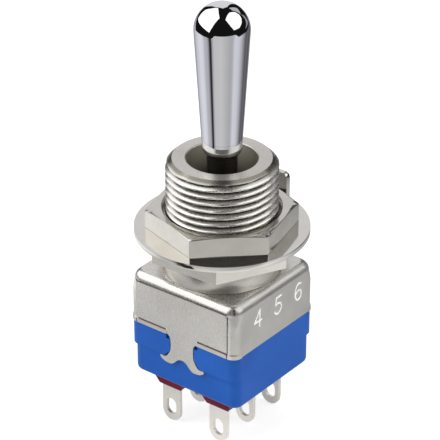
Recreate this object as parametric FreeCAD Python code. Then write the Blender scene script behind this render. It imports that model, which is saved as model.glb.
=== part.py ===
import FreeCAD, Part
import os
from math import asin, atan2, cos, pi, radians, sin, sqrt, tan

# Panel toggle switch, two poles, three lever positions, shown in its middle one. Millimetres.
# The origin is on the bushing's axis in the panel plane: the locking ring's front face, where the
# panel's rear face lies. +Z runs out along the lever, the lever swings in the XZ plane, and the
# terminals stand in two rows along X.

# Threaded bushing
thread_major_d = 11.82
thread_root_d = 11.0
bushing_reach = 7.8          # front face above the panel plane
bushing_chamfer = 0.65
bushing_face_d = 10.4
bore_d = 7.44
shoulder_d = 12.5
shoulder_height = 2.15
spigot_d = 8.6
spigot_length = 0.95         # through the cover

# Nuts and locking ring
nut_across_flats = 14.0
nut_thickness = 2.2
nut_face_d = 13.9
nut_corner_drop = 0.25       # fall of the turned chamfer at the corners
nut_sink_share = 0.562       # front nut's countersink, as a share of the land round the thread
nut_sink_slope = 0.83        # its depth over its width
nut_play = 0.08              # radial, between the nut's thread and the bushing's root
thread_depth_in_nut = 0.1    # the full thread is drawn from here, inside the countersink
front_nut_turn = 13.7        # degrees from +X to a corner
rear_nut_turn = 33.5
ring_d = 18.5
ring_hole_d = 12.1
ring_thickness = 0.6
ring_tab_width = 3.9
ring_tab_height = 2.85
ring_tab_bend = 0.15
ring_tab_corner = 0.6

# Lever
lever_top_d = 5.78
lever_reach = 17.15          # top of the knob above the bushing's face
lever_foot_d = 4.28
lever_foot_gap = 1.0         # foot of the taper above the bushing's face
lever_foot_round = 1.25
lever_foot_end_d = 3.8
lever_neck_d = 3.2
lever_hub_d = 5.6            # short barrel on the cross pin
lever_hub_height = 4.6
lever_stem_d = 2.8
lever_stem_drop = 3.35       # bottom of the stem below the cover's underside
lever_throw = 13.0           # degrees each way
pivot_depth = 8.25           # below the bushing's face
pivot_pin_d = 1.5
pin_end_gap = 0.15

# Folded sheet cover
body_x = 13.8
body_y = 14.2
sheet = 0.35
cover_bend = 1.0
cover_corner = 1.05
cover_skirt = 5.95
cover_lip = 0.12
cover_lip_height = 0.45
seam = 0.12
tab_width = 3.0
tab_root = 0.5
tab_reach = 2.85             # from the skirt's edge to the case's step
foot_span = 5.9
foot_depth = 0.7             # below the case's step
foot_tip = 0.25
foot_toe_width = 0.7         # flat end of each toe
foot_toe_inset = 0.1         # its inner corner inside the tab's edge
foot_notch = 0.2             # top of the notch above the case's step
foot_notch_width = 0.9
foot_flare = 0.75            # the tab widens over this width as it nears its foot
foot_flare_height = 0.85

# Moulded case
case_depth = 12.45           # bottom of the case below the cover's top
case_wall = 0.9
case_step = 0.37
case_side_step = 0.08        # on the walls without a clip tab
case_corner = 0.9            # inside the cover
case_lower_corner = 1.05
case_bottom_round = 0.6
case_floor = 2.45
case_top_chamfer = 0.6
barrier_width = 0.8
barrier_height = 2.8
potting_depth = 0.8
potting_rim = 1.1            # case left standing round the potting

# Terminals
pole_spacing = 6.45
terminal_pitch = 4.6
lug_width = 2.4
lug_thickness = 0.45
lug_reach = 6.05             # below the case
lug_slot_width = 1.3
lug_slot_length = 2.0
lug_slot_end = 0.78
round_facets = 7             # straight lengths round a lug's end and each end of its slot
pad_length = 2.0
contact_length = 1.2
contact_width = 1.6
contact_height = 0.26
contact_x = 3.9
fork_gap = 1.3
fork_height = 0.6
seal_foot_x = 1.6
seal_foot_y = 4.7
seal_tip_x = 0.8
seal_tip_y = 2.9
seal_height = 1.65

# Actuator, plungers, springs and rockers
actuator_x = 3.2
actuator_y = 9.5
actuator_height = 4.45
stem_seat = 1.95             # depth of the stem in the actuator
plunger_width = 1.8          # square
plunger_length = 2.9
plunger_tip_width = 0.8
plunger_nose = 0.7
plunger_bore_depth = 2.6
plunger_hole_width = 1.24
plunger_hole_depth = 1.4
plunger_out = 1.35           # tip below the actuator
spring_d = 1.1
spring_wire = 0.18
spring_turns = 3
spring_facets = 6            # straight lengths in one turn
rocker_length = 9.8
rocker_width = 2.6
rocker_sheet = 0.4
rocker_arm_angle = 9.0       # degrees that each arm rises from the fulcrum
rocker_tilt_angle = 6.9      # degrees each way, until a contact closes
rocker_waist_length = 1.4

# Clearances
fit = 0.03                   # between fixed pieces
pin_run = 0.04               # radial, lever on its pin
slide_run = 0.05             # each side, plunger in its bore
moulding_gap = 0.05          # case inside the cover
tab_gap = 0.12               # case beside the cover's clip tabs
tip_gap = 0.16               # plunger's tip above the rocker
seat_gap = 0.05              # rocker above its fulcrum, and above a closed contact
waist_gap = 0.05             # rocker's waist inside its fork

# Heights that follow, from the panel plane
ring_bottom = -ring_thickness
rear_nut_bottom = ring_bottom - nut_thickness
body_top = rear_nut_bottom - shoulder_height
cover_underside = body_top - sheet
skirt_edge = body_top - cover_skirt
case_step_z = skirt_edge - tab_reach
case_bottom = body_top - case_depth
floor_top = case_bottom + case_floor
lug_tip = case_bottom - lug_reach
pivot_z = bushing_reach - pivot_depth
stem_end = cover_underside - lever_stem_drop
actuator_top = stem_end + stem_seat
actuator_bottom = actuator_top - actuator_height
plunger_tip = actuator_bottom - plunger_out
plunger_top = plunger_tip + plunger_length
spring_bottom = plunger_top - plunger_hole_depth
spring_top = actuator_bottom + plunger_bore_depth
fulcrum_z = plunger_tip - tip_gap - rocker_sheet / cos(radians(rocker_arm_angle))
contact_top = fulcrum_z + contact_x * tan(radians(rocker_arm_angle - rocker_tilt_angle)) - seat_gap
pad_top = contact_top - contact_height
fork_floor = fulcrum_z - seat_gap
thread_start = nut_thickness - thread_depth_in_nut
pole_y = pole_spacing / 2


def vec(x, y, z):
    return FreeCAD.Vector(x, y, z)


UP = vec(0, 0, 1)
ALONG_X = vec(1, 0, 0)
ALONG_Y = vec(0, 1, 0)
CENTRE = vec(0, 0, 0)


def cylinder(d, z0, z1, x=0, y=0):
    return Part.makeCylinder(d / 2, z1 - z0, vec(x, y, z0))


def block(x0, x1, y0, y1, z0, z1):
    return Part.makeBox(x1 - x0, y1 - y0, z1 - z0, vec(x0, y0, z0))


def centred_block(size_x, size_y, z0, z1, x=0, y=0):
    return block(x - size_x / 2, x + size_x / 2, y - size_y / 2, y + size_y / 2, z0, z1)


def upright_edges(shape):
    found = []
    for edge in shape.Edges:
        a, b = edge.Vertexes[0].Point, edge.Vertexes[-1].Point
        if abs(a.x - b.x) < 1e-6 and abs(a.y - b.y) < 1e-6:
            found.append(edge)
    return found


def edges_at(shape, z):
    return [e for e in shape.Edges if abs(e.BoundBox.ZMin - z) < 1e-6 and abs(e.BoundBox.ZMax - z) < 1e-6]


def rounded_block(size_x, size_y, z0, z1, corner, x=0, y=0):
    solid = centred_block(size_x, size_y, z0, z1, x, y)
    return solid.makeFillet(corner, upright_edges(solid))


def rolled_block(size_x, size_y, z0, z1, corner, bend, z_bend, flats=False):
    """Rounded block whose edges at z_bend are rolled over along X and along Y, with mitres between.

    With flats, each round is a flat across the same corner.
    """
    bar = centred_block(size_x, size_y, z0, z1)
    if flats:
        solid = bar.makeChamfer(corner * (2 - sqrt(2)), upright_edges(bar))
    else:
        solid = bar.makeFillet(corner, upright_edges(bar))
    for along_x in (True, False):
        edges = [e for e in edges_at(bar, z_bend) if (e.BoundBox.XLength > e.BoundBox.YLength) == along_x]
        solid = solid.common(bar.makeChamfer(bend, edges) if flats else bar.makeFillet(bend, edges))
    return solid


def both_sides(shape):
    return shape.fuse(shape.mirror(CENTRE, ALONG_X))


def arc(a, b, c):
    return Part.Arc(a, b, c).toShape()


def line(a, b):
    return Part.makeLine(a, b)


def revolved(points):
    outline = [vec(r, 0, z) for r, z in points]
    return Part.Face(Part.makePolygon(outline + outline[:1])).revolve(CENTRE, UP, 360)


def plate(points, x_middle):
    """A sheet outlined in the YZ plane at x = 0, as thick as a lug, with its middle at x_middle."""
    face = Part.Face(Part.makePolygon(points + points[:1]))
    face.translate(vec(x_middle - lug_thickness / 2, 0, 0))
    return face.extrude(vec(lug_thickness, 0, 0))


def half_round(y, z, r, side):
    """Half circle about (y, z) in short straight lengths, above it for side 1 and below it for -1."""
    turns = [pi * i / round_facets for i in range(round_facets + 1)]
    return [vec(0, y - side * r * cos(a), z + side * r * sin(a)) for a in turns]


def lug_slot(y):
    half = lug_slot_width / 2
    low = lug_tip + lug_slot_end + half
    high = lug_tip + lug_slot_end + lug_slot_length - half
    return half_round(y, low, half, -1) + half_round(y, high, half, 1)


def lug_outline(y, top):
    """The lug with its round end, up to two upper corners."""
    half = lug_width / 2
    end = half_round(y, lug_tip + half, half, -1)
    return [vec(0, y + half, top)] + end + [vec(0, y - half, top)]


# Bushing, nuts and ring


def make_bushing():
    root, bore = thread_root_d / 2, bore_d / 2
    spigot_end = body_top - spigot_length
    solid = revolved([
        (bore, spigot_end),
        (spigot_d / 2, spigot_end),
        (spigot_d / 2, body_top),
        (shoulder_d / 2, body_top),
        (shoulder_d / 2, rear_nut_bottom),
        (root, rear_nut_bottom),
        (root, thread_start),
        (thread_major_d / 2, thread_start),
        (thread_major_d / 2, bushing_reach - bushing_chamfer),
        (bushing_face_d / 2, bushing_reach),
        (bore, bushing_reach),
    ])
    return solid.cut(cross_pin(pivot_pin_d + 2 * fit))


def cross_pin(d):
    length = thread_root_d - 2 * pin_end_gap
    return Part.makeCylinder(d / 2, length, vec(0, -length / 2, pivot_z), ALONG_Y)


def make_nut(bottom, turn, sink_share):
    """Hexagon nut with its turned chamfer upwards, and its thread countersunk there by a share of the land."""
    top = bottom + nut_thickness
    corner = nut_across_flats / sqrt(3)
    ring = [vec(corner * cos(pi * i / 3), corner * sin(pi * i / 3), bottom) for i in range(7)]
    hexagon = Part.Face(Part.makePolygon(ring)).extrude(UP * nut_thickness)
    thread = thread_root_d / 2 + nut_play
    sink = sink_share * (nut_face_d / 2 - thread)
    outline = [
        (thread, bottom),
        (corner + nut_corner_drop, bottom),
        (corner + nut_corner_drop, top - 2 * nut_corner_drop),
        (corner, top - nut_corner_drop),
        (nut_face_d / 2, top),
        (thread + sink, top),
    ]
    if sink:
        outline.append((thread, top - sink * nut_sink_slope))
    turned = revolved(outline)
    nut = hexagon.common(turned)
    nut.rotate(CENTRE, UP, turn)
    return nut


def make_locking_ring():
    outer, hole = ring_d / 2, ring_hole_d / 2
    disc = revolved([
        (hole, ring_bottom),
        (outer, ring_bottom),
        (outer, 0),
        (hole, 0),
    ])
    # The tab is bent up out of the rim, with a round heel under the bend
    half = ring_tab_width / 2
    reach = outer - 2 * (ring_thickness + ring_tab_bend)
    disc = disc.cut(block(reach, ring_d, -half, half, ring_bottom - 1, 1))
    strip = block(reach, outer, -half, half, ring_bottom, ring_tab_height)
    heel = edges_along_y(strip, outer, ring_bottom)
    strip = strip.makeFillet(ring_thickness + ring_tab_bend, heel)
    tips = [e for e in strip.Edges if edge_runs_x(e) and abs(e.BoundBox.ZMax - ring_tab_height) < 1e-6]
    strip = strip.makeFillet(ring_tab_corner, tips)
    inner = outer - ring_thickness
    hollow = block(0, inner, -half - 1, half + 1, 0, ring_tab_height + 1)
    return disc.fuse(strip.cut(hollow)).removeSplitter()


def edges_along_y(shape, x, z):
    found = []
    for e in shape.Edges:
        box = e.BoundBox
        if max(abs(box.XMin - x), abs(box.XMax - x), abs(box.ZMin - z), abs(box.ZMax - z)) < 1e-6:
            found.append(e)
    return found


def edge_runs_x(edge):
    box = edge.BoundBox
    return box.XLength > 1e-6 and box.YLength < 1e-6 and box.ZLength < 1e-6


# Lever


def make_lever():
    """Round bat lever with its pivot hub and stem, turned as one piece."""
    knob = lever_top_d / 2
    top = bushing_reach + lever_reach
    knob_z = top - knob
    foot = lever_foot_d / 2
    foot_low = bushing_reach + lever_foot_gap
    foot_z = foot_low + lever_foot_round
    foot_end = lever_foot_end_d / 2
    # The taper touches the knob where its line from the foot is tangent
    distance = sqrt(foot ** 2 + (knob_z - foot_z) ** 2)
    lean = asin(knob / distance) - atan2(foot, knob_z - foot_z)
    touch = vec(knob * cos(lean), 0, knob_z - knob * sin(lean))
    shoulder = vec(knob * cos(pi / 4), 0, knob_z + knob * sin(pi / 4))
    neck, hub, stem = lever_neck_d / 2, lever_hub_d / 2, lever_stem_d / 2
    hub_top = pivot_z + lever_hub_height / 2
    hub_bottom = pivot_z - lever_hub_height / 2
    turned = [
        touch,
        vec(foot, 0, foot_z),
        vec(foot_end, 0, foot_low),
        vec(neck, 0, foot_low),
        vec(neck, 0, hub_top),
        vec(hub, 0, hub_top),
        vec(hub, 0, hub_bottom),
        vec(stem, 0, hub_bottom),
        vec(stem, 0, stem_end),
        vec(0, 0, stem_end),
        vec(0, 0, top),
    ]
    edges = [arc(vec(0, 0, top), shoulder, touch)] + [line(a, b) for a, b in zip(turned, turned[1:])]
    solid = Part.Face(Part.Wire(edges)).revolve(CENTRE, UP, 360)
    return solid.cut(cross_pin(pivot_pin_d + 2 * pin_run))


# Cover


def make_cover():
    """Drawn sheet cover with a pressed lip along two walls, two clip tabs and four corner seams."""
    inside = 2 * sheet
    cover = rolled_block(
        body_x, body_y, skirt_edge, body_top, cover_corner, cover_bend, body_top
    )
    lip_top = skirt_edge + cover_lip_height
    lip = rounded_block(body_x + 2 * cover_lip, body_y + 2 * cover_lip, skirt_edge, lip_top, cover_corner + cover_lip)
    flush = tab_width + 2 * tab_root
    lip = lip.cut(centred_block(body_x - 2 * cover_corner, 2 * body_y, skirt_edge, lip_top))
    for side in (-1, 1):
        edge_x = side * (body_x / 2 + cover_lip)
        lip = lip.cut(centred_block(2 * cover_lip, flush, skirt_edge, lip_top, edge_x))
    cover = cover.fuse(lip)
    hollow = rolled_block(
        body_x - inside, body_y - inside, skirt_edge - 1, cover_underside,
        cover_corner - sheet, cover_bend - sheet, cover_underside, True,
    )
    cover = cover.cut(hollow)
    cover = cover.cut(cylinder(spigot_d + 2 * fit, cover_underside - 1, body_top + 1))
    seam_y = body_y / 2 - cover_corner
    for side in (-1, 1):
        slit = centred_block(body_x + 2, seam, skirt_edge - 1, body_top - cover_bend, 0, side * seam_y)
        cover = cover.cut(slit.cut(centred_block(body_x - 2 * inside, 2 * seam, skirt_edge - 1, body_top, 0, side * seam_y)))
    return cover.fuse(both_sides(clip_tab())).removeSplitter()


def clip_tab():
    """Tab on the +X wall that widens into a splayed foot, hooked under the case's step."""
    half, span = tab_width / 2, foot_span / 2
    root_z = skirt_edge - tab_root
    hook = case_step_z - fit
    low = hook - foot_depth
    top = skirt_edge + cover_lip_height
    toe = half - foot_toe_inset
    side = [
        (half + tab_root, top),
        (half + tab_root, skirt_edge),
        (half, root_z),
        (half, hook + foot_flare_height),
        (half + foot_flare, hook),
        (span, hook),
        (span, hook - foot_tip),
        (toe + foot_toe_width, low),
        (toe, low),
        (foot_notch_width / 2, hook + foot_notch),
    ]
    return wall_plate(side, body_x / 2 - sheet, sheet)


def wall_plate(side, x, depth):
    """Plate in the YZ plane from x outwards, with an outline that is the same on both sides."""
    points = [vec(0, y, z) for y, z in side + [(-y, z) for y, z in reversed(side)]]
    face = Part.Face(Part.makePolygon(points + points[:1]))
    face.translate(vec(x, 0, 0))
    return face.extrude(vec(depth, 0, 0))


# Case, terminals and potting


def make_case():
    skin = sheet + moulding_gap
    lower_x, lower_y = body_x - 2 * case_step, body_y - 2 * case_side_step
    lower = rolled_block(
        lower_x, lower_y, case_bottom, skirt_edge, case_lower_corner, case_bottom_round, case_bottom
    )
    flange = rounded_block(body_x, body_y, case_step_z, skirt_edge, cover_corner)
    top = cover_underside - moulding_gap
    walls = rolled_block(
        body_x - 2 * skin, body_y - 2 * skin, case_step_z, top, case_corner, case_top_chamfer, top, True
    )
    case = lower.fuse([flange, walls])
    wall = skin + case_wall
    case = case.cut(centred_block(body_x - 2 * wall, body_y - 2 * wall, floor_top, top + 1))
    barrier = centred_block(body_x - 2 * wall, barrier_width, floor_top, floor_top + barrier_height)
    case = case.fuse(barrier)
    case = case.cut(potting_recess(potting_depth, 0))
    case = case.cut(both_sides(tab_recess()))
    for x, y in terminal_places():
        case = case.cut(blade_hole(x, y))
    return case.removeSplitter()


def tab_recess():
    """Room in the case for a clip tab, with its wider root and the flare of its foot."""
    half = tab_width / 2 + tab_gap
    root_z = skirt_edge - tab_root - tab_gap
    side = [
        (half + tab_root, skirt_edge + 1),
        (half + tab_root, root_z),
        (half, root_z),
        (half, case_step_z + foot_flare_height),
        (half + foot_flare, case_step_z),
        (half + foot_flare, case_step_z - 1),
    ]
    return wall_plate(side, body_x / 2 - sheet - fit, body_x / 2)


def potting_recess(depth, play):
    size_x = body_x - 2 * case_step - 2 * potting_rim - 2 * play
    size_y = body_y - 2 * case_step - 2 * potting_rim - 2 * play
    return centred_block(size_x, size_y, case_bottom - 1, case_bottom + depth)


def blade_hole(x, y):
    return centred_block(lug_thickness + 2 * fit, lug_width + 2 * fit, lug_tip, skirt_edge, x, y)


def terminal_places():
    """Terminals 1 to 3 along +Y, then 4 to 6 along -Y, each row from -X to +X."""
    return [(x, y) for y in (pole_y, -pole_y) for x in (-terminal_pitch, 0, terminal_pitch)]


def make_centre_terminal(y):
    """Solder lug whose inner end is a fork: the rocker's waist lies on the fork's floor."""
    gap = fork_gap / 2
    prong = fork_floor + fork_height
    points = lug_outline(y, prong) + [
        vec(0, y - gap, prong),
        vec(0, y - gap, fork_floor),
        vec(0, y + gap, fork_floor),
        vec(0, y + gap, prong),
    ]
    return plate(points, 0).cut(plate(lug_slot(y), 0))


def make_end_terminal(side, y):
    """Solder lug whose inner end bends over into a pad that carries a contact."""
    half = lug_width / 2
    blade = plate(lug_outline(y, pad_top), terminal_pitch).cut(plate(lug_slot(y), terminal_pitch))
    outer = terminal_pitch + lug_thickness / 2
    pad = block(outer - pad_length, outer, y - half, y + half, pad_top - lug_thickness, pad_top)
    terminal = blade.fuse(pad).removeSplitter()
    contact = centred_block(contact_length, contact_width, pad_top, contact_top, contact_x, y)
    terminal = terminal.fuse(contact)
    return terminal if side > 0 else terminal.mirror(CENTRE, ALONG_X)


def make_potting():
    """Sealing resin over the case's floor, drawn up round each lug."""
    resin = potting_recess(potting_depth - fit, fit)
    resin = resin.cut(centred_block(body_x, body_y, case_bottom - 1, case_bottom + fit))
    for x, y in terminal_places():
        resin = resin.fuse(seal_collar(x, y))
    for x, y in terminal_places():
        resin = resin.cut(blade_hole(x, y))
    return resin.removeSplitter()


def seal_collar(x, y):
    """Resin that has crept down the lug, tapering on all four sides."""
    foot_x, foot_y = seal_foot_x / 2, seal_foot_y / 2
    tip_x, tip_y = seal_tip_x / 2, seal_tip_y / 2
    height = seal_height + 2 * fit
    collar = Part.makeWedge(-foot_x, 0, -foot_y, -tip_y, -tip_x, foot_x, height, foot_y, tip_y, tip_x)
    collar.rotate(CENTRE, ALONG_X, -90)
    collar.translate(vec(x, y, case_bottom + 2 * fit))
    return collar


# Actuator, plungers, springs and rockers


def make_actuator():
    """Insulating crosspiece on the lever's stem, with a square plunger bore over each pole."""
    solid = centred_block(actuator_x, actuator_y, actuator_bottom, actuator_top)
    solid = solid.cut(cylinder(lever_stem_d + 2 * fit, stem_end - fit, actuator_top + 1))
    bore = plunger_width + 2 * slide_run
    for y in (pole_y, -pole_y):
        solid = solid.cut(centred_block(bore, bore, actuator_bottom - 1, spring_top, 0, y))
    return solid


def make_plunger(y):
    """Square plunger with a tapered nose and a hole for its spring."""
    half, tip = plunger_width / 2, plunger_tip_width / 2
    body = centred_block(plunger_width, plunger_width, plunger_tip + plunger_nose, plunger_top)
    nose = Part.makeWedge(-half, 0, -half, -tip, -tip, half, plunger_nose, half, tip, tip)
    nose.rotate(CENTRE, ALONG_X, -90)
    nose.translate(vec(0, 0, plunger_tip + plunger_nose))
    plunger = body.fuse(nose).removeSplitter()
    hole = centred_block(plunger_hole_width, plunger_hole_width, spring_bottom, plunger_top + 1)
    plunger = plunger.cut(hole)
    plunger.translate(vec(0, y, 0))
    return plunger


def make_spring(y):
    """Round coil drawn with a square wire section, in short straight lengths."""
    half = spring_wire / 2
    inner, outer = spring_d / 2 - spring_wire, spring_d / 2
    low = spring_bottom + half + fit
    pitch = (spring_top - half - fit - low) / spring_turns
    sections = []
    for step in range(spring_turns * spring_facets + 1):
        turn = 2 * pi * step / spring_facets
        z = low + pitch * step / spring_facets
        across = vec(cos(turn), sin(turn), 0)
        middle = vec(0, y, z)
        corners = [
            middle + across * inner - UP * half,
            middle + across * outer - UP * half,
            middle + across * outer + UP * half,
            middle + across * inner + UP * half,
        ]
        sections.append(Part.makePolygon(corners + corners[:1]))
    return Part.makeLoft(sections, True, True)


def make_rocker(y):
    """Strip bent into a shallow vee, narrowed at its fulcrum to lie in the fork."""
    end = rocker_length / 2
    rise = tan(radians(rocker_arm_angle))
    thick = rocker_sheet / cos(radians(rocker_arm_angle))
    low = [(-end, end * rise), (0, 0), (end, end * rise)]
    high = [(x, z + thick) for x, z in reversed(low)]
    points = [vec(x, y - rocker_width / 2, fulcrum_z + z) for x, z in low + high]
    strip = Part.Face(Part.makePolygon(points + points[:1])).extrude(vec(0, rocker_width, 0))
    waist = fork_gap / 2 - waist_gap
    half = rocker_waist_length / 2
    for side in (-1, 1):
        cheek = sorted((y + side * waist, y + side * rocker_width))
        notch = block(-half, half, cheek[0], cheek[1], fulcrum_z - 1, plunger_top)
        strip = strip.cut(notch)
    return strip


def export():
    parts = {
        "bushing": make_bushing(),
        "front_nut": make_nut(0, front_nut_turn, nut_sink_share),
        "locking_ring": make_locking_ring(),
        "rear_nut": make_nut(rear_nut_bottom, rear_nut_turn, 0),
        "lever": make_lever(),
        "pivot_pin": cross_pin(pivot_pin_d),
        "cover": make_cover(),
        "case": make_case(),
        "potting": make_potting(),
        "actuator": make_actuator(),
    }
    for number, (x, y) in enumerate(terminal_places(), 1):
        name = f"terminal_{number}"
        parts[name] = make_centre_terminal(y) if x == 0 else make_end_terminal(x, y)
    for name, y in (("a", pole_y), ("b", -pole_y)):
        parts[f"plunger_{name}"] = make_plunger(y)
        parts[f"spring_{name}"] = make_spring(y)
        parts[f"rocker_{name}"] = make_rocker(y)
    os.makedirs("parts", exist_ok=True)
    for name, shape in parts.items():
        shape.exportStep(f"parts/{name}.step")


export()
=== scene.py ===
import math
from contextlib import contextmanager

import bmesh
import bpy
import numpy as np
from mathutils import Matrix, Vector


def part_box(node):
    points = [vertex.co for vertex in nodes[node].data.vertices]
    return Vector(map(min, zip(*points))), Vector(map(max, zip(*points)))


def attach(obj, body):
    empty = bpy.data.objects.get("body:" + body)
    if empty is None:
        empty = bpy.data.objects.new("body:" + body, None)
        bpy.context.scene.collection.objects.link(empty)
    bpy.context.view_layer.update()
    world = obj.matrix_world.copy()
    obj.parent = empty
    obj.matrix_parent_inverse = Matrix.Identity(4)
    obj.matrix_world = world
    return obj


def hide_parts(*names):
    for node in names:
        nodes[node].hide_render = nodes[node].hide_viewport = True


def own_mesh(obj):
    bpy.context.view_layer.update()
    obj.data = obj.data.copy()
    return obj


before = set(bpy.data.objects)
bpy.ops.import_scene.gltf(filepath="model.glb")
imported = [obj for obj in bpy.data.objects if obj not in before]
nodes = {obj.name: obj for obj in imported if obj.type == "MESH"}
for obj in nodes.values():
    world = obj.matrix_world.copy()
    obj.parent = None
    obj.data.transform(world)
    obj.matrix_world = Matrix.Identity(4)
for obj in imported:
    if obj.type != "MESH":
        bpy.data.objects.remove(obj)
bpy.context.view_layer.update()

# Meshes are built in millimetres, and scaled to metres when they are placed
MM = 0.001
WELD = 1e-3                  # points closer than this become one
FINE_WELD = 5e-4             # the same after a bevel, whose faces are smaller
LEVEL = math.radians(0.6)    # faces nearer to one plane than this become one
floor_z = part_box("terminal_1")[0].z / MM


def low_high(node):
    low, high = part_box(node)
    return low / MM, high / MM


# Mesh helpers


@contextmanager
def edited(mesh):
    """A bmesh of the mesh, written back to it at the end."""
    bm = bmesh.new()
    bm.from_mesh(mesh)
    yield bm
    bm.to_mesh(mesh)
    bm.free()


def linked(name, data):
    obj = bpy.data.objects.new(name, data)
    bpy.context.scene.collection.objects.link(obj)
    return obj


def new_object(name, verts, faces, materials=()):
    mesh = bpy.data.meshes.new(name)
    mesh.from_pydata([tuple(float(c) for c in v) for v in verts], [], faces)
    mesh.update()
    obj = linked(name, mesh)
    for m in materials:
        mesh.materials.append(m)
    return obj


def column_faces(columns, rows, closed=False):
    """Quads between neighbouring columns of points. Closed joins the last column to the first."""
    faces = []
    for i in range(columns if closed else columns - 1):
        j = (i + 1) % columns
        for k in range(rows - 1):
            faces.append((i * rows + k, j * rows + k, j * rows + k + 1, i * rows + k + 1))
    return faces


def ring_faces(rings, count):
    """Quads between neighbouring rings of points, each ring closed on itself."""
    faces = []
    for r in range(rings - 1):
        for k in range(count):
            m = (k + 1) % count
            faces.append((r * count + k, r * count + m, (r + 1) * count + m, (r + 1) * count + k))
    return faces


def smooth_by_angle(obj, degrees):
    """Smooth shading, with every edge sharper than the angle kept sharp."""
    limit = math.radians(degrees)
    with edited(obj.data) as bm:
        bm.normal_update()
        for f in bm.faces:
            f.smooth = True
        for e in bm.edges:
            e.smooth = len(e.link_faces) == 2 and e.calc_face_angle(0) < limit
    return obj


def faced_outward(obj):
    with edited(obj.data) as bm:
        bmesh.ops.recalc_face_normals(bm, faces=bm.faces)
    return obj


def flattened(bm):
    """Joins the faces that lie in one plane."""
    bmesh.ops.dissolve_limit(
        bm, angle_limit=LEVEL, use_dissolve_boundaries=False, verts=bm.verts, edges=bm.edges
    )


def applied(obj):
    """The object with its modifiers made part of its mesh."""
    bpy.context.view_layer.update()
    depsgraph = bpy.context.evaluated_depsgraph_get()
    mesh = bpy.data.meshes.new_from_object(obj.evaluated_get(depsgraph), depsgraph=depsgraph)
    obj.modifiers.clear()
    obj.data = mesh
    return obj


def copied_node(name, node):
    """A new piece with a node's form, with its split corners welded and its flat faces joined."""
    bm = bmesh.new()
    bm.from_mesh(nodes[node].data)
    bmesh.ops.scale(bm, vec=(1 / MM,) * 3, verts=bm.verts)
    bmesh.ops.remove_doubles(bm, verts=bm.verts, dist=WELD)
    flattened(bm)
    mesh = bpy.data.meshes.new(name)
    bm.to_mesh(mesh)
    bm.free()
    return linked(name, mesh)


def softened(obj, width, degrees=28):
    """Rounds every edge sharper than the angle given, as tumbling and plating do."""
    bevel = obj.modifiers.new("edge", "BEVEL")
    bevel.width = width
    bevel.segments = 2
    bevel.limit_method = "ANGLE"
    bevel.angle_limit = math.radians(degrees)
    bevel.use_clamp_overlap = True
    bevel.harden_normals = False
    applied(obj)
    with edited(obj.data) as bm:
        bmesh.ops.remove_doubles(bm, verts=bm.verts, dist=FINE_WELD)
        bmesh.ops.dissolve_degenerate(bm, dist=FINE_WELD, edges=bm.edges)
    return smooth_by_angle(obj, 40)


def turned(name, profile, segments):
    """Surface of revolution about Z from (radius, height) points."""
    verts = []
    for i in range(segments):
        a = 2 * math.pi * i / segments
        verts += [(r * math.cos(a), r * math.sin(a), z) for r, z in profile]
    obj = new_object(name, verts, column_faces(segments, len(profile), closed=True))
    with edited(obj.data) as bm:
        bmesh.ops.remove_doubles(bm, verts=bm.verts, dist=1e-5)
        bmesh.ops.recalc_face_normals(bm, faces=bm.faces)
    return obj


def joined(name, parts):
    """One mesh of several that meet at their rims. The parts are used up."""
    mesh = bpy.data.meshes.new(name)
    bm = bmesh.new()
    for part in parts:
        first, slots = len(bm.faces), len(mesh.materials)
        bm.from_mesh(part.data)
        bm.faces.ensure_lookup_table()
        for f in bm.faces[first:]:
            f.material_index += slots
        for m in part.data.materials:
            mesh.materials.append(m)
        bpy.data.objects.remove(part)
    bmesh.ops.remove_doubles(bm, verts=bm.verts, dist=WELD)
    bmesh.ops.recalc_face_normals(bm, faces=bm.faces)
    bm.to_mesh(mesh)
    bm.free()
    return linked(name, mesh)


def smooth_line(points, steps=4):
    """Points along a smooth curve that passes through the given ones."""
    path = [points[0]] + list(points) + [points[-1]]
    out = []
    for k in range(1, len(path) - 2):
        corners = list(zip(*path[k - 1: k + 3]))
        for i in range(steps):
            t = i / steps
            out.append(tuple(
                0.5 * (
                    2 * b + (c - a) * t + (2 * a - 5 * b + 4 * c - d) * t ** 2
                    + (3 * b - a - 3 * c + d) * t ** 3
                )
                for a, b, c, d in corners
            ))
    return out + [tuple(points[-1])]


def combined(target, other, operation, materials="INDEX"):
    """Boolean of two closed meshes. The second one is used up."""
    step = target.modifiers.new("join", "BOOLEAN")
    step.operation = operation
    step.solver = "EXACT"
    step.object = other
    step.material_mode = materials
    applied(target)
    bpy.data.objects.remove(other)
    return target


def prism(name, outline, x0, x1):
    """Closed solid of an outline in (y, z), between two x."""
    count = len(outline)
    verts = [(x, y, z) for x in (x0, x1) for y, z in outline]
    faces = [tuple(range(count)), tuple(range(2 * count - 1, count - 1, -1))]
    faces += [(k, k + count, (k + 1) % count + count, (k + 1) % count) for k in range(count)]
    return faced_outward(new_object(name, verts, faces))


def rounded_ring(half_x, half_y, corner, z, steps=8):
    """Points of a rectangle with round corners, at one height."""
    points = []
    for k, (sx, sy) in enumerate(((1, 1), (-1, 1), (-1, -1), (1, -1))):
        for i in range(steps + 1):
            a = math.pi / 2 * (k + i / steps)
            x = sx * (half_x - corner) + corner * math.cos(a)
            y = sy * (half_y - corner) + corner * math.sin(a)
            points.append((x, y, z))
    return points


def loft(name, rings):
    """Closed solid through rings of points, from the lowest to the highest."""
    count = len(rings[0])
    verts = [p for ring in rings for p in ring]
    faces = [tuple(range(count - 1, -1, -1)), tuple(range(len(verts) - count, len(verts)))]
    return new_object(name, verts, faces + ring_faces(len(rings), count))


# Steps of a tube's round end, as shares of its radius along the tube and across it
TUBE_CAP = ((0.97, 0.25), (0.71, 0.71), (0.26, 0.97))
TUBE_SIDES = 14
TUBE_TWIST = 0.37            # turn of a tube's sides about its path, as a share of one side


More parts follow.
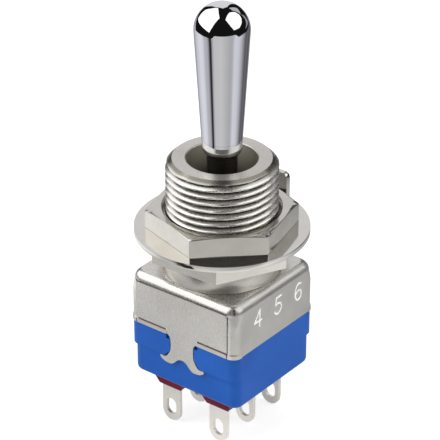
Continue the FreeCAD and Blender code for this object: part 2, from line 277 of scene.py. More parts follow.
def tube(name, path, radius, material):
    """Closed round tube with round ends along a path without sharp turns."""
    points = [Vector(p) for p in path]
    last = len(points) - 1
    rows = [(0, -radius * c, s) for c, s in TUBE_CAP]
    rows += [(k, 0, 1) for k in range(last + 1)]
    rows += [(last, radius * c, s) for c, s in reversed(TUBE_CAP)]
    side = (points[1] - points[0]).normalized().orthogonal().normalized()
    verts = []
    for k, along, share in rows:
        ahead = (points[min(k + 1, last)] - points[max(k - 1, 0)]).normalized()
        side = (side - ahead * side.dot(ahead)).normalized()
        up = ahead.cross(side)
        for i in range(TUBE_SIDES):
            a = 2 * math.pi * (i + TUBE_TWIST) / TUBE_SIDES
            across = side * math.cos(a) + up * math.sin(a)
            verts.append(points[k] + ahead * along + across * radius * share)
    faces = ring_faces(len(rows), TUBE_SIDES)
    faces.append(tuple(range(TUBE_SIDES)))
    faces.append(tuple(range(len(verts) - 1, len(verts) - TUBE_SIDES - 1, -1)))
    return faced_outward(new_object(name, verts, faces, [material]))


SHARP_TURN = math.radians(50)
NEARLY_CLOSED = math.radians(200)


def gentle_runs(stroke):
    """Parts of a stroke without sharp corners, each short of a closed loop."""
    runs, run, turned_by = [], [Vector(stroke[0])], 0
    for k in range(1, len(stroke)):
        here = Vector(stroke[k])
        run.append(here)
        if k < len(stroke) - 1:
            turn = (here - Vector(stroke[k - 1])).angle(Vector(stroke[k + 1]) - here)
            turned_by += turn
            if turn > SHARP_TURN or turned_by > NEARLY_CLOSED:
                runs.append(run)
                run, turned_by = [here], 0
    return runs + [run]


def carved(target, strokes, radius, material):
    """Cuts round grooves along the strokes, whose walls take the material."""
    for stroke in strokes:
        for run in gentle_runs(stroke):
            combined(target, tube("cutter", run, radius, material), "DIFFERENCE", "TRANSFER")
    return target


def finish_piece(obj, body, node, slot, *materials, flat=False):
    obj.data.transform(Matrix.Scale(MM, 4))
    for m in materials:
        if m.name not in [x.name for x in obj.data.materials if x]:
            obj.data.materials.append(m)
    if flat:
        obj.modifiers.new("normals", "WEIGHTED_NORMAL").keep_sharp = True
        applied(obj)
    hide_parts(node)
    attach(obj, body)
    return obj


# Materials


def srgb(r, g, b):
    def line(c):
        c /= 255
        return c / 12.92 if c <= 0.04045 else ((c + 0.055) / 1.055) ** 2.4

    return (line(r), line(g), line(b), 1)


def rgb(r, g, b):
    return (r, g, b, 1)


def new_material(name, color, metallic, roughness):
    m = bpy.data.materials.new(name)
    m.use_nodes = True
    shader = m.node_tree.nodes["Principled BSDF"]
    shader.inputs["Base Color"].default_value = color
    shader.inputs["Metallic"].default_value = metallic
    shader.inputs["Roughness"].default_value = roughness
    return m, m.node_tree, shader


def object_coords(tree, scale=(1, 1, 1)):
    coords = tree.nodes.new("ShaderNodeTexCoord")
    mapping = tree.nodes.new("ShaderNodeMapping")
    mapping.inputs["Scale"].default_value = scale
    tree.links.new(coords.outputs["Object"], mapping.inputs["Vector"])
    return mapping.outputs["Vector"]


def noise(tree, vector, scale, detail):
    n = tree.nodes.new("ShaderNodeTexNoise")
    n.inputs["Scale"].default_value = scale
    n.inputs["Detail"].default_value = detail
    n.inputs["Roughness"].default_value = 0.55
    tree.links.new(vector, n.inputs["Vector"])
    return n.outputs["Fac"]


def ranged(tree, value, low, high, start=0.3, end=0.7):
    """The value from start to end, spread over low to high."""
    r = tree.nodes.new("ShaderNodeMapRange")
    r.inputs["From Min"].default_value = start
    r.inputs["From Max"].default_value = end
    r.inputs["To Min"].default_value = low
    r.inputs["To Max"].default_value = high
    tree.links.new(value, r.inputs["Value"])
    return r.outputs["Result"]


def blended(tree, fac, a, b):
    mix = tree.nodes.new("ShaderNodeMix")
    mix.data_type = "RGBA"
    mix.inputs["A"].default_value = a
    mix.inputs["B"].default_value = b
    tree.links.new(fac, mix.inputs["Factor"])
    return mix.outputs["Result"]


def bumped(tree, shader, height, distance):
    bump = tree.nodes.new("ShaderNodeBump")
    bump.inputs["Strength"].default_value = 1.0
    bump.inputs["Distance"].default_value = distance * MM
    tree.links.new(height, bump.inputs["Height"])
    tree.links.new(bump.outputs["Normal"], shader.inputs["Normal"])


METAL_CLOUDS, PLASTIC_CLOUDS, PLASTIC_GRAIN = 260, 180, 7000


def metal(name, color, darker, rough, grain=900, bump=0.004, streak=(1, 1, 1), haze=0.0):
    """Plated metal: cloudy tone, uneven gloss and a fine tooled grain, stretched by streak."""
    m, tree, shader = new_material(name, color, 1.0 - haze, rough[1])
    cloud = noise(tree, object_coords(tree), METAL_CLOUDS, 5)
    fine = noise(tree, object_coords(tree, streak), grain * 4, 3)
    tree.links.new(blended(tree, ranged(tree, cloud, 0, 1), color, darker), shader.inputs["Base Color"])
    tree.links.new(ranged(tree, fine, *rough), shader.inputs["Roughness"])
    bumped(tree, shader, fine, bump)
    return m


def plastic(name, color, other, rough, bump=0.004, gloss=0.3):
    """Moulded plastic or resin: cloudy tone and gloss with a fine grain."""
    m, tree, shader = new_material(name, color, 0.0, rough[1])
    shader.inputs["Specular IOR Level"].default_value = gloss
    cloud = noise(tree, object_coords(tree), PLASTIC_CLOUDS, 5)
    fine = noise(tree, object_coords(tree), PLASTIC_GRAIN, 3)
    tree.links.new(blended(tree, ranged(tree, cloud, 0, 1), color, other), shader.inputs["Base Color"])
    tree.links.new(ranged(tree, cloud, *rough), shader.inputs["Roughness"])
    bumped(tree, shader, fine, bump)
    return m


LATHE_MARKS, DRAWN_MARKS = (1, 1, 6), (1, 1, 0.2)
turned_nickel = metal(
    "turned_nickel", rgb(0.63, 0.61, 0.57), rgb(0.54, 0.52, 0.48), (0.26, 0.36), 900, 0.0015,
    LATHE_MARKS, 0.14
)
nut_nickel = metal(
    "nut_nickel", rgb(0.68, 0.66, 0.61), rgb(0.60, 0.58, 0.53), (0.13, 0.22), 700, 0.0015, haze=0.04
)
ring_nickel = metal(
    "ring_nickel", rgb(0.74, 0.72, 0.68), rgb(0.66, 0.64, 0.60), (0.06, 0.12), 500, 0.001, haze=0.02
)
cover_nickel = metal(
    "cover_nickel", rgb(0.74, 0.72, 0.685), rgb(0.66, 0.64, 0.605), (0.22, 0.30), 800, 0.0012,
    DRAWN_MARKS, 0.15
)
# Darker, rougher copy of the cover's plating for its -Y wall: the darker tone is painted shade
satin_painted_shade_nickel = metal(
    "satin_painted_shade_nickel", rgb(0.60, 0.59, 0.56), rgb(0.50, 0.49, 0.46), (0.28, 0.36), 800, 0.0012, DRAWN_MARKS, 0.2
)
# Lighter copy of the plating for the lip band on the side walls: painted highlight
lip_painted_highlight = metal("lip_painted_highlight", rgb(0.82, 0.76, 0.73), rgb(0.72, 0.66, 0.63), (0.30, 0.42), 800, 0.003)
# Near-black for the creases, the corner notch and the lines above the lip: painted shade
crease_painted_shade = metal("crease_painted_shade", rgb(0.10, 0.09, 0.08), rgb(0.22, 0.20, 0.18), (0.4, 0.5), 800, 0.002)


def thread_metal(name):
    """Plating with painted shade that darkens the thread's grooves and a painted highlight that lightens its
    crests.
    """
    m = metal(
        name, rgb(0.60, 0.575, 0.53), rgb(0.50, 0.475, 0.43), (0.20, 0.30), 900, 0.0012, LATHE_MARKS, 0.10
    )
    tree = m.node_tree
    shader = tree.nodes["Principled BSDF"]
    groove_shade_radius = tree.nodes.new("ShaderNodeVectorMath")
    groove_shade_radius.operation = "LENGTH"
    tree.links.new(object_coords(tree, (1, 1, 0)), groove_shade_radius.inputs[0])
    depth = ranged(tree, groove_shade_radius.outputs["Value"], 0, 1, 5.46 * MM, 5.84 * MM)
    # Painted shade and highlight: the base colour goes from dark at the thread's root radius to light at its
    # crest radius
    tone = blended(tree, depth, rgb(0.19, 0.18, 0.155), rgb(0.80, 0.78, 0.74))
    tree.links.new(tone, shader.inputs["Base Color"])
    return m


def bore_metal(name, high, low):
    """Bare turned brass, with painted shade that darkens it further into the bore."""
    m = metal(name, rgb(0.4, 0.38, 0.3), rgb(0.3, 0.28, 0.2), (0.40, 0.55), 900, 0.003, LATHE_MARKS)
    tree = m.node_tree
    shader = tree.nodes["Principled BSDF"]
    shader.inputs["Metallic"].default_value = 0.25
    split = tree.nodes.new("ShaderNodeSeparateXYZ")
    tree.links.new(object_coords(tree), split.inputs[0])
    depth = ranged(tree, split.outputs["Z"], 0, 1, low * MM, high * MM)
    # Painted shade: the base colour goes nearly black from the top of the bore down to its lower depth
    tone = blended(tree, depth, rgb(0.015, 0.013, 0.01), rgb(0.30, 0.28, 0.225))
    tree.links.new(tone, shader.inputs["Base Color"])
    return m


chrome = metal("chrome", rgb(0.80, 0.80, 0.82), rgb(0.76, 0.76, 0.79), (0.015, 0.035), 300, 0.0002)
tinned = metal("tinned", rgb(0.85, 0.83, 0.77), rgb(0.76, 0.74, 0.68), (0.34, 0.48), 700, 0.004, haze=0.35)
# Near-black for the lever's neck, hub and stem inside the bore: painted shade
neck_painted_shade = metal("neck_painted_shade", rgb(0.10, 0.095, 0.085), rgb(0.05, 0.048, 0.042), (0.3, 0.45), 900, 0.003)
pin_steel = metal("pin_steel", rgb(0.5, 0.5, 0.5), rgb(0.4, 0.4, 0.4), (0.2, 0.3))
spring_steel = metal("spring_steel", rgb(0.55, 0.55, 0.56), rgb(0.45, 0.45, 0.46), (0.2, 0.3))
contact_silver = metal("contact_silver", rgb(0.85, 0.84, 0.80), rgb(0.7, 0.69, 0.64), (0.2, 0.35))
blue = plastic("blue_moulding", srgb(20, 88, 176), srgb(14, 79, 166), (0.34, 0.46), 0.003, 0.2)
# Near-white for the walls of the stamped numbers' grooves: painted highlight
stamp_painted_highlight = plastic("stamp_painted_highlight", rgb(0.94, 0.94, 0.93), rgb(0.84, 0.84, 0.82), (0.35, 0.5), 0.002)
resin = plastic("dark_red_resin", srgb(122, 8, 44), srgb(88, 6, 38), (0.4, 0.55), 0.006, 0.12)
black_moulding = plastic("black_moulding", rgb(0.025, 0.025, 0.025), rgb(0.015, 0.015, 0.015), (0.35, 0.5))
white_moulding = plastic("white_moulding", rgb(0.78, 0.77, 0.72), rgb(0.7, 0.69, 0.64), (0.35, 0.5))


def dress(node, material):
    slots = nodes[node].data.materials
    if len(slots) == 0:
        slots.append(material)
    for i in range(len(slots)):
        slots[i] = material


for node, material in (
    ("pivot_pin", pin_steel), ("actuator", black_moulding),
    ("plunger_a", white_moulding), ("plunger_b", white_moulding),
    ("rocker_a", contact_silver), ("rocker_b", contact_silver),
):
    dress(node, material)


# Threaded bushing


bushing_low, bushing_high = low_high("bushing")
face_z = bushing_high.z
shoulder_r = bushing_high.x
rear_nut_bottom = low_high("rear_nut")[0].z
front_nut_top = low_high("front_nut")[1].z
cover_high = low_high("cover")[1]
crest_r, root_r = 5.90, 5.42
pitch = 25.4 / 32
crest_flat = 1.18            # above 1, and so the crest is cut off flat
bore_r, face_r, spigot_r = 3.72, 5.20, 4.30
chamfer_z = face_z - 0.65
thread_low = front_nut_top - 0.62
thread_around, thread_rows = 180, 116


def thread_radius(z, turn):
    """60 degree thread with a narrow flat on its crest, run out under the nut and into the chamfer."""
    phase = (z / pitch - turn) % 1.0
    depth = abs(2 * phase - 1)
    r = root_r + (crest_r - root_r) * min(1.0, depth * crest_flat)
    chamfer = crest_r + 0.01 - (z - chamfer_z) * (crest_r - face_r) / (face_z - chamfer_z)
    run_out = root_r + (z - thread_low) * 0.77 / 0.64
    return min(r, chamfer, max(run_out, root_r - 0.02))


def make_bushing_piece():
    """Bushing with its helical thread. The solid's holes for the pivot pin aren't cut here."""
    count = thread_rows + 1
    heights = [thread_low + (face_z - thread_low) * k / thread_rows for k in range(count)]
    verts = []
    for i in range(thread_around):
        turn = i / thread_around
        a = 2 * math.pi * turn
        for z in heights:
            r = thread_radius(z, turn)
            verts.append((r * math.cos(a), r * math.sin(a), z))
    thread = new_object("bushing_thread", verts, column_faces(thread_around, count, closed=True))
    # The end face and the bore, with a small bevel between them
    top = [
        (crest_r - 0.69, face_z), (face_r - 0.12, face_z), (bore_r + 0.17, face_z), (bore_r + 0.15, face_z),
        (bore_r + 0.02, face_z - 0.07), (bore_r, face_z - 0.10), (bore_r, bushing_low.z),
    ]
    inner = turned("bushing_top", top, thread_around)
    neck_z = rear_nut_bottom - 0.02
    body = [
        (bore_r, bushing_low.z), (spigot_r, bushing_low.z), (spigot_r, cover_high.z),
        (shoulder_r - 0.12, cover_high.z), (shoulder_r - 0.03, cover_high.z + 0.03),
        (shoulder_r, cover_high.z + 0.12), (shoulder_r, rear_nut_bottom - 0.28),
        (shoulder_r - 0.05, rear_nut_bottom - 0.14), (shoulder_r - 0.16, neck_z), (root_r, neck_z),
        (root_r, thread_low),
    ]
    lower = turned("bushing_lower", body, thread_around)
    thread.data.materials.append(thread_metal("thread_nickel"))
    inner.data.materials.append(turned_nickel)
    inner.data.materials.append(bore_metal("bore_brass", face_z - 0.6, face_z - 4.6))
    for f in inner.data.polygons:
        if f.center.z < face_z - 0.5 or math.hypot(f.center.x, f.center.y) < bore_r + 0.02:
            f.material_index = 1
    lower.data.materials.append(turned_nickel)
    return smooth_by_angle(joined("threaded_bushing", [thread, inner, lower]), 42)


finish_piece(make_bushing_piece(), "base", "bushing", "plated_brass")


# Lever


def arc_points(cx, cz, r, start, end, count):
    """Points of an arc, with its angles in degrees from the top."""
    angles = [math.radians(start + (end - start) * i / count) for i in range(count + 1)]
    return [(cx + r * math.sin(a), cz + r * math.cos(a)) for a in angles]


lever_low, lever_high = low_high("lever")
knob = lever_high.x
knob_z = lever_high.z - knob
foot_r, foot_z, foot_low = 2.14, face_z + 2.22, face_z + 0.66
neck_r, hub_r, stem_r = 1.6, 2.8, 1.4
hub_top, hub_bottom, hub_edge = 1.85, -2.75, 0.06
taper_steps = 16


def make_lever_piece():
    """Bat lever from its knob down to its stem. The solid's hole for the pivot pin isn't cut here."""
    distance = math.hypot(foot_r, knob_z - foot_z)
    lean = math.asin(knob / distance) - math.atan2(foot_r, knob_z - foot_z)
    touch = (knob * math.cos(lean), knob_z - knob * math.sin(lean))
    profile = [(0.0, lever_high.z)] + arc_points(0, knob_z, knob, 3, 90 + math.degrees(lean), 30)
    for k in range(1, taper_steps):
        t = k / taper_steps
        profile.append((touch[0] + (foot_r - touch[0]) * t, touch[1] + (foot_z - touch[1]) * t))
    profile += [
        (foot_r, foot_z), (foot_r - 0.02, foot_z - 0.03), (foot_r - 0.04, foot_z - 0.60),
        (foot_r - 0.06, foot_z - 1.05), (foot_r - 0.11, foot_z - 1.30), (foot_r - 0.19, foot_z - 1.46),
        (foot_r - 0.29, foot_low), (neck_r + 0.02, foot_low), (neck_r, foot_low - 0.05),
        (neck_r, 1.9), (hub_r - hub_edge, hub_top), (hub_r, hub_top - hub_edge),
        (hub_r, hub_bottom + hub_edge), (hub_r - hub_edge, hub_bottom), (stem_r, hub_bottom),
        (stem_r, lever_low.z + 0.1), (stem_r - 0.1, lever_low.z), (0.0, lever_low.z),
    ]
    lever = turned("bat_lever", profile, 128)
    lever.data.materials.append(chrome)
    lever.data.materials.append(neck_painted_shade)
    # Below the foot the lever takes the near-black of painted shade
    for f in lever.data.polygons:
        f.material_index = 1 if f.center.z < foot_low + 0.01 else 0
    return smooth_by_angle(lever, 20)


finish_piece(make_lever_piece(), "lever", "lever", "chromed_lever")


# Springs


coil_r, wire_r = 0.455, 0.085
coil_turns, coil_steps, wire_sides = 6, 20, 8


def make_coil(name, node):
    """Round-wire coil in a spring's place, with its end turns closed up."""
    low, high = low_high(node)
    y = (low.y + high.y) / 2
    count = coil_turns * coil_steps + 1
    verts = []
    for k in range(count):
        rise = float(np.interp(k / (count - 1), (0, 0.15, 0.85, 1), (0, 0.05, 0.95, 1)))
        a = 2 * math.pi * k / coil_steps
        z = low.z + wire_r + (high.z - low.z - 2 * wire_r) * rise
        for i in range(wire_sides):
            b = 2 * math.pi * i / wire_sides
            r = coil_r + wire_r * math.cos(b)
            verts.append((r * math.cos(a), y + r * math.sin(a), z + wire_r * math.sin(b)))
    faces = ring_faces(count, wire_sides)
    faces.append(tuple(range(wire_sides - 1, -1, -1)))
    faces.append(tuple(range((count - 1) * wire_sides, count * wire_sides)))
    coil = smooth_by_angle(new_object(name, verts, faces, [spring_steel]), 60)
    finish_piece(coil, "lever", node, "spring_wire")
    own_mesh(coil)


make_coil("coil_a", "spring_a")
make_coil("coil_b", "spring_b")

# Nuts, ring, lugs and resin: copies of their solids with rounded edges

copies = [
    ("front_nut_finish", "front_nut", "plated_nut", 0.09, nut_nickel),
    ("rear_nut_finish", "rear_nut", "plated_nut", 0.09, nut_nickel),
    ("locking_ring_finish", "locking_ring", "plated_ring", 0.10, ring_nickel),
]
copies += [(f"lug_{k}", f"terminal_{k}", "tinned_lug", 0.06, tinned) for k in range(1, 7)]
copies.append(("sealing_resin", "potting", "dark_red_resin", 0.15, resin))
for name, node, slot, width, material in copies:
    piece = softened(copied_node(name, node), width)
    finish_piece(piece, "base", node, slot, material, flat=True)
    if node == "locking_ring":
        # Not mirrored by the others: with it, the front nut and the cover's edges render too dark
        piece.visible_glossy = False

# Blue case, with its lower corners and bottom edge rounded

case_bottom = low_high("case")[0].z
case_x, case_y = 6.53, 7.02
case_corner, bottom_round, bottom_steps = 1.05, 0.6, 6
step_z = cover_high.z - 8.95
rings = []
for i in range(bottom_steps + 1):
    a = math.pi / 2 * i / bottom_steps
    inset = bottom_round * (1 - math.sin(a))
    z = case_bottom + bottom_round * (1 - math.cos(a))
    rings.append(rounded_ring(case_x - inset, case_y - inset, case_corner - inset * 0.7, z))
rings.append(rounded_ring(case_x, case_y, case_corner, step_z - 0.02))
rings.append(rounded_ring(case_x + 1, case_y + 1, case_corner, step_z - 0.01))
rings.append(rounded_ring(case_x + 1, case_y + 1, case_corner, 0))
case = combined(copied_node("blue_case", "case"), loft("envelope", rings), "INTERSECT")
finish_piece(softened(case, 0.10), "base", "case", "blue_moulding", blue, flat=True)

# Folded cover with stamped numbers

# Strokes of each digit, one unit high above and below its middle
DIGITS = {
    "4": [[(0.30, -1.0), (0.30, 1.0), (-0.62, -0.35), (0.66, -0.35)]],
    "5": [[(0.55, 1.0), (-0.40, 1.0), (-0.48, 0.12), (-0.05, 0.28), (0.38, 0.12), (0.58, -0.3),
           (0.40, -0.76), (0.0, -1.0), (-0.40, -0.92), (-0.62, -0.66)]],
    "6": [[(0.45, 0.86), (0.05, 1.0), (-0.34, 0.72), (-0.56, 0.2), (-0.58, -0.4), (-0.32, -0.88),
           (0.06, -1.0), (0.44, -0.82), (0.58, -0.38), (0.42, 0.02), (0.06, 0.16), (-0.34, 0.0),
           (-0.56, -0.4)]],
}
DIGIT_X = {"4": -3.0, "5": 0.5, "6": 4.0}
DIGIT_WIDTH = 0.95

wall_x, wall_y = -6.9, -7.10
skirt_z = cover_high.z - 5.95
# One side of a clip tab, as (y, height above the skirt's edge)
tab_side = smooth_line([
    (y, skirt_z + rise) for y, rise in (
        (2.05, 0.05), (1.80, -0.12), (1.57, -0.42), (1.50, -1.1), (1.55, -1.9), (1.80, -2.42),
        (2.12, -2.82), (2.45, -2.95), (2.80, -2.89), (2.94, -3.02), (2.85, -3.22), (2.50, -3.44),
        (2.05, -3.56), (1.45, -3.55), (1.02, -3.26), (0.66, -2.88), (0.30, -2.67), (0.0, -2.63),
    )
])
tab_outline = [(2.05, skirt_z + 0.3)] + tab_side
tab_outline += [(-y, z) for y, z in reversed(tab_outline[:-1])]

cover = copied_node("folded_cover", "cover")
for side in (-1, 1):
    below = [(-4, skirt_z), (4, skirt_z), (4, skirt_z - 5), (-4, skirt_z - 5)]
    combined(cover, prism("below", below, side * 6, side * 8), "DIFFERENCE")
    combined(cover, prism("tab", tab_outline, side * 6.55, side * 6.9), "UNION")

# The rounder lies just outside the cover's walls and cuts its upper corners to a larger radius
round_x, round_y, top_corner, top_bend = 6.903, 7.103, 1.5, 1.02
bend_steps = 8
top_rings = [rounded_ring(9, 9, 1.0, z) for z in (skirt_z - 6, cover_high.z - 2.2)]
for corner_r, drop in ((1.06, 2.19), (1.2, 1.7), (1.38, 1.3), (top_corner, top_bend)):
    top_rings.append(rounded_ring(round_x, round_y, corner_r, cover_high.z - drop))
for k in range(1, bend_steps + 1):
    a = math.pi / 2 * k / bend_steps
    inset = top_bend * (1 - math.cos(a))
    z = cover_high.z + 0.003 - top_bend * (1 - math.sin(a))
    top_rings.append(rounded_ring(round_x - inset, round_y - inset, top_corner - 0.75 * inset, z))
combined(cover, loft("rounder", top_rings), "INTERSECT")

# The far seam of the wall seen at the left is filled
seam_low, seam_high = skirt_z + 0.30, cover_high.z - 1.02
far_seam = [(5.95, seam_low), (6.15, seam_low), (6.15, seam_high), (5.95, seam_high)]
combined(cover, prism("far_seam", far_seam, wall_x, wall_x + 0.15), "UNION")
with edited(cover.data) as bm:
    bmesh.ops.remove_doubles(bm, verts=bm.verts, dist=WELD)
    bmesh.ops.dissolve_degenerate(bm, dist=WELD, edges=bm.edges)
    flattened(bm)
softened(cover, 0.07, 34)
cover.data.materials.clear()
cover.data.materials.append(cover_nickel)

digit_z = cover_high.z - 2.6
strokes = [
    [(DIGIT_X[digit] + DIGIT_WIDTH * x, wall_y - 0.03, digit_z + z) for x, z in stroke]
    for digit, group in DIGITS.items() for stroke in group
]
# The grooves' walls take the near-white of painted highlight
carved(cover, strokes, 0.12, stamp_painted_highlight)

# Creases below the bend on both side walls, near-black with painted shade
crease_z = cover_high.z - 0.80
crease = [(wall_x - 0.05, -5.9 + 0.9 * k, crease_z - 0.012 * k) for k in range(14)]
crease += [(wall_x + 0.05, 6.2, crease_z - 0.12), (wall_x + 0.2, 6.55, crease_z + 0.12)]
carved(cover, [crease, [(-x, y, z) for x, y, z in crease]], 0.13, crease_painted_shade)

# Notch over the near corner, its walls near-black with painted shade
corner = Vector((wall_x + 1.05, wall_y + 1.05, cover_high.z - 1.0))
slant = 0.7071
notch = [
    corner + Vector((-slant * math.cos(a), -slant * math.cos(a), math.sin(a))) * 0.93
    for a in (0.85, 0.6, 0.35)
]
carved(cover, [notch], 0.14, crease_painted_shade)

# Lines above the pressed lip, on both sides of each clip tab, near-black with painted shade
for side in (-1, 1):
    for ends in ((-5.95, -2.15), (2.17, 5.80)):
        line = [(side * (abs(wall_x) + 0.01), y, skirt_z + 0.49) for y in ends]
        carved(cover, [line], 0.085, crease_painted_shade)

cover.data.materials.append(lip_painted_highlight)
cover.data.materials.append(satin_painted_shade_nickel)
lip_index = len(cover.data.materials) - 2
for f in cover.data.polygons:
    # Faces turned to -Y near that wall take the darker copy of the plating: painted shade
    if f.material_index == 0 and f.center.y < wall_y + 0.75 and f.normal.y < -0.3:
        f.material_index = lip_index + 1
    # The lip band takes the lighter copy of the plating: painted highlight
    if skirt_z - 0.01 < f.center.z < skirt_z + 0.47 and abs(f.center.x) > abs(wall_x) + 0.02:
        f.material_index = lip_index
smooth_by_angle(cover, 40)
finish_piece(cover, "base", "cover", "plated_cover", flat=True)


# Stage


def cleared(owner, output):
    """The empty node tree of a material or world, and its output's surface."""
    owner.use_nodes = True
    tree = owner.node_tree
    tree.nodes.clear()
    return tree, tree.nodes.new(output).inputs["Surface"]


def shader_node(tree, kind, color=None, strength=None):
    node = tree.nodes.new(kind)
    if color is not None:
        node.inputs["Color"].default_value = color
    if strength is not None:
        node.inputs["Strength"].default_value = strength
    return node.outputs[0]


def grey(name, value, blueness=0.0):
    """A glowing material of one level, with a little more blue if asked."""
    m = bpy.data.materials.new(name)
    tree, surface = cleared(m, "ShaderNodeOutputMaterial")
    color = (value, value, value * (1 + blueness), 1)
    tree.links.new(shader_node(tree, "ShaderNodeEmission", color, 1.0), surface)
    return m


def staged(name, verts, faces, material, camera=False):
    """A stage piece. Unless it is for the camera, only reflections see it."""
    obj = new_object(name, verts, faces, [material])
    obj.data.transform(Matrix.Scale(MM, 4))
    if not camera:
        obj.visible_camera = False
        obj.visible_diffuse = False
        obj.visible_shadow = False
        obj.visible_transmission = False
    return obj


def camera_like(tree):
    """1 for the rays that see the background: camera, glossy and transmission rays."""
    path = tree.nodes.new("ShaderNodeLightPath")
    seen = path.outputs["Is Camera Ray"]
    for kind in ("Is Glossy Ray", "Is Transmission Ray"):
        larger = tree.nodes.new("ShaderNodeMath")
        larger.operation = "MAXIMUM"
        tree.links.new(seen, larger.inputs[0])
        tree.links.new(path.outputs[kind], larger.inputs[1])
        seen = larger.outputs[0]
    return seen


def by_ray(tree, others, background, surface):
    """One shader for the rays that see the background, and another for the rest."""
    mix = tree.nodes.new("ShaderNodeMixShader")
    tree.links.new(camera_like(tree), mix.inputs[0])
    tree.links.new(others, mix.inputs[1])
    tree.links.new(background, mix.inputs[2])
    tree.links.new(mix.outputs[0], surface)


floor_m = bpy.data.materials.new("floor")
tree, surface = cleared(floor_m, "ShaderNodeOutputMaterial")
both = tree.nodes.new("ShaderNodeAddShader")
tree.links.new(shader_node(tree, "ShaderNodeBsdfDiffuse", (0.30, 0.30, 0.30, 1)), both.inputs[0])
tree.links.new(shader_node(tree, "ShaderNodeEmission", strength=0.80), both.inputs[1])
by_ray(tree, shader_node(tree, "ShaderNodeBsdfDiffuse", (0.8, 0.8, 0.8, 1)), both.outputs[0], surface)
half = 900
floor_level = floor_z - 0.02
square = [(x, y, floor_level) for x, y in ((-half, -half), (half, -half), (half, half), (-half, half))]
staged("floor", square, [(0, 1, 2, 3)], floor_m, True)

WHITE = (1, 1, 1, 1)
world = bpy.data.worlds.new("studio")
bpy.context.scene.world = world
tree, surface = cleared(world, "ShaderNodeOutputWorld")
room = shader_node(tree, "ShaderNodeBackground", WHITE, 0.45)
by_ray(tree, room, shader_node(tree, "ShaderNodeBackground", WHITE, 1.0), surface)

view_turn = math.radians(51.97)
view_rise = math.radians(28.77)


def towards(azimuth, elevation):
    """Direction from the object: azimuth 0 is towards the camera, and positive to its right."""
    a = math.radians(azimuth)
    e = math.radians(elevation)
    front = Vector((-math.sin(view_turn), -math.cos(view_turn), 0))
    right = Vector((math.cos(view_turn), -math.sin(view_turn), 0))
    return (front * math.cos(a) + right * math.sin(a)) * math.cos(e) + Vector((0, 0, math.sin(e)))


DARK = 0.008
DOME_R, PANEL_R, CORE_R = 520, 505, 500
SKYLINE = -2.6               # lowest elevation of the dome


def dark_dome(steps=24):
    verts = [
        towards(-180 + 360 * i / steps, SKYLINE + (90 - SKYLINE) * k / steps) * DOME_R
        for i in range(steps + 1) for k in range(steps + 1)
    ]
    return staged("dome", verts, column_faces(steps + 1, steps + 1), grey("dark_room", DARK))


def dome_panel(name, corners, value, blueness=0.0, distance=PANEL_R):
    """Light panel on the dome, with its corners in the directions given."""
    middle = sum((towards(a, e) for a, e in corners), Vector()).normalized()
    verts = [middle * distance] + [towards(a, e) * distance for a, e in corners]
    count = len(corners)
    faces = [(0, 1 + k, 1 + (k + 1) % count) for k in range(count)]
    return staged(name, verts, faces, grey(name, value, blueness))


# A dark room with two soft boxes that have bright cores, two dimmer panels behind, a dim streak at
# the right and a paper floor, all seen only in reflections
dark_dome()
dome_panel("left_box", [
    (-134, 5), (-140, 14), (-144, 24), (-143, 42), (-159, 61), (-93, 79), (-25, 68), (-38, 49), (-44, 29),
    (-52, 6), (-74, 10), (-102, 10),
], 1.5)
dome_panel("left_core", [
    (-127, 22), (-128, 44), (-100, 62), (-70, 58), (-62, 26), (-76, 16), (-104, 16),
], 4.0, distance=CORE_R)
dome_panel("right_core", [
    (92, 24), (90, 44), (112, 56), (121, 44), (116, 32), (106, 24),
], 4.0, distance=CORE_R)
dome_panel("right_box", [
    (25, 61), (66, 72), (113, 66), (124, 46), (119, 33), (111, 25), (95, 19), (76, 14), (50, 15), (42, 29),
    (35, 44),
], 1.4)
dome_panel("streak", [
    (129, 24), (126, 9), (116, -1), (104, -2.5), (131, -2.5), (137, -2), (136, 11),
], 0.35, 0.06)
dome_panel("back_panel", [
    (-168, -2.5), (-164, 0), (-157, 20), (-155, 51), (175, 66), (160, 53), (167, 10), (169, -2.5),
], 0.80, 0.03)
dome_panel("right_back_panel", [(127, 26), (150, 24), (151, 54), (132, 52)], 0.55)

# Levels of the paper by azimuth, set by trial: for long rays, for short ones, and close to the object
far_paper = (
    (-180, 0.55), (-165, 0.45), (-152, 0.32), (-134, 0.62), (-105, 0.84), (-88, 0.80), (-76, 0.55),
    (-64, 0.50), (-57, 0.28), (-53, 0.03), (-46, 0.03), (-42, 0.40), (-34, 0.64), (-5, 0.67), (35, 0.49),
    (44, 0.53), (54, 0.76), (72, 0.72), (88, 0.50), (98, 0.30), (110, 0.12), (123, 0.17), (137, 0.09),
    (152, 0.25), (165, 0.5), (180, 0.55),
)
near_paper = (
    (-180, 0.7), (-150, 0.8), (-125, 1.15), (-95, 1.15), (-80, 0.8), (-66, 0.66), (-58, 0.62), (-54, 0.1),
    (-45, 0.1), (-40, 0.7), (-20, 0.84), (13, 0.6), (40, 0.9), (52, 1.1), (75, 0.85), (100, 0.6), (125, 0.5),
    (145, 0.35), (165, 0.6), (180, 0.7),
)
wall_paper = (
    (-180, 0.8), (-120, 0.66), (-76, 0.54), (-50, 0.75), (-10, 0.95), (30, 1.0), (60, 0.8), (104, 0.54),
    (150, 0.6), (180, 0.8),
)
# Distance of the paper's edge by azimuth
paper_edge = (
    (-180, 505), (-146, 505), (-138, 300), (-129, 154), (-96, 164), (-63, 152), (-45, 134), (-36, 200),
    (-28, 505), (50, 505), (60, 250), (67, 152), (88, 189), (114, 189), (130, 240), (144, 309),
    (156, 505), (180, 505),
)
PAPER_STEPS = 240
CLOSE_R, CLOSE_BLEND = 34, 9  # the close level ends here, and blends out over this width
LONG_RAY = (53, 58)          # length over which short rays turn into long ones


def keyed(table, x):
    return float(np.interp(x, [k for k, _ in table], [v for _, v in table]))


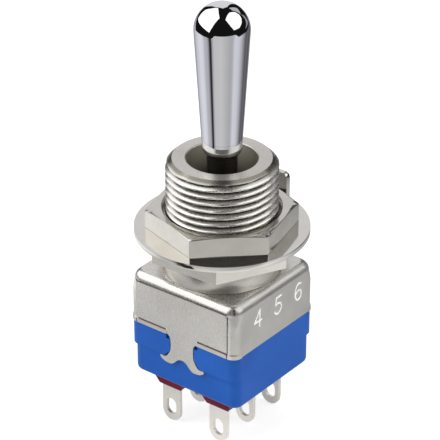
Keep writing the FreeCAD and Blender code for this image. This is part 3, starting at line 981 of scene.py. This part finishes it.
def paper_levels(azimuth, r, lit):
    """Colours of the paper at a place, for long rays and for short ones."""
    tone = keyed(far_paper, azimuth) if lit else DARK
    blue_share = 1.0 if -40 < azimuth < 48 else 1.08
    mix = min(1.0, max(0.0, (r - CLOSE_R) / CLOSE_BLEND))
    near = keyed(wall_paper, azimuth) * (1 - mix) + keyed(near_paper, azimuth) * mix if lit else DARK
    return (tone, tone, tone * blue_share, 1), (near, near, near, 1)


def paper_material():
    """Glows with one colour for short rays and another for long ones, as from the lever's knob."""
    m = bpy.data.materials.new("paper")
    tree, surface = cleared(m, "ShaderNodeOutputMaterial")
    mix = tree.nodes.new("ShaderNodeMix")
    mix.data_type = "RGBA"
    path = tree.nodes.new("ShaderNodeLightPath")
    length = ranged(tree, path.outputs["Ray Length"], 0, 1, LONG_RAY[0] * MM, LONG_RAY[1] * MM)
    tree.links.new(length, mix.inputs["Factor"])
    for name, side in (("near", "A"), ("far", "B")):
        attribute = tree.nodes.new("ShaderNodeAttribute")
        attribute.attribute_name = name
        tree.links.new(attribute.outputs["Color"], mix.inputs[side])
    glow = tree.nodes.new("ShaderNodeEmission")
    tree.links.new(mix.outputs["Result"], glow.inputs["Color"])
    tree.links.new(glow.outputs[0], surface)
    return m


def paper_mirror():
    """The floor as the metal sees it."""
    distances = (0, 34, 43, 53, 60, 75, 100, 130, "edge", "past", 850)
    verts, far, near = [], [], []
    for i in range(PAPER_STEPS + 1):
        azimuth = -180 + 360 * i / PAPER_STEPS
        edge = keyed(paper_edge, azimuth)
        for d in distances:
            r = {"edge": edge, "past": edge * 1.03}.get(d, d)
            lit = d not in ("past", 850) or edge > 500
            verts.append(towards(azimuth, 0) * r + Vector((0, 0, floor_level + 0.005)))
            long_ray, short_ray = paper_levels(azimuth, r, lit)
            far.append(long_ray)
            near.append(short_ray)
    faces = column_faces(PAPER_STEPS + 1, len(distances))
    obj = staged("paper_mirror", verts, faces, paper_material())
    for name, values in (("near", near), ("far", far)):
        attribute = obj.data.attributes.new(name, "FLOAT_COLOR", "POINT")
        attribute.data.foreach_set("color", np.array(values, dtype=np.float32).ravel())
    return obj


paper_mirror()

# A small dark card low on the left, also seen only in reflections
stand_r, stand_low, stand_high = 25, -15.2, -5.6
stand = [towards(a, 0) * stand_r + Vector((0, 0, z)) for a, z in (
    (-45, stand_low), (-31, stand_low), (-31, stand_high), (-45, stand_high)
)]
staged("stand", stand, [(0, 1, 2, 3)], grey("stand", 0.01))


def lamp(name, azimuth, elevation, size, power, distance=380):
    data = bpy.data.lights.new(name, "AREA")
    data.shape = "SQUARE"
    data.size = size * MM
    data.energy = power
    obj = linked(name, data)
    obj.location = towards(azimuth, elevation) * distance * MM
    obj.rotation_mode = "QUATERNION"
    obj.rotation_quaternion = (-obj.location).to_track_quat("-Z", "Y")
    obj.visible_camera = False
    obj.visible_glossy = False
    return obj


lamp("key_left", -75, 42, 260, 1.1)
lamp("fill_right", 75, 36, 260, 0.7)
lamp("top", 160, 70, 220, 0.6)

# Camera, at the photograph's angle

photo_px, focal_px, shift_px = 440, 2138, -2.14
sensor = 36
target_z, camera_distance = 0.41, 223.4
camera_data = bpy.data.cameras.new("camera")
camera = linked("camera", camera_data)
back = Vector((
    -math.sin(view_turn) * math.cos(view_rise),
    -math.cos(view_turn) * math.cos(view_rise),
    math.sin(view_rise),
))
camera.location = (Vector((0, 0, target_z)) + back * camera_distance) * MM
camera.rotation_mode = "QUATERNION"
camera.rotation_quaternion = (-back).to_track_quat("-Z", "Y")
camera_data.sensor_width = sensor
camera_data.lens = sensor * focal_px / photo_px
camera_data.shift_x = shift_px / photo_px
camera_data.clip_start = 0.01
camera_data.clip_end = 10
bpy.context.scene.camera = camera

bpy.context.scene.view_settings.view_transform = "Standard"
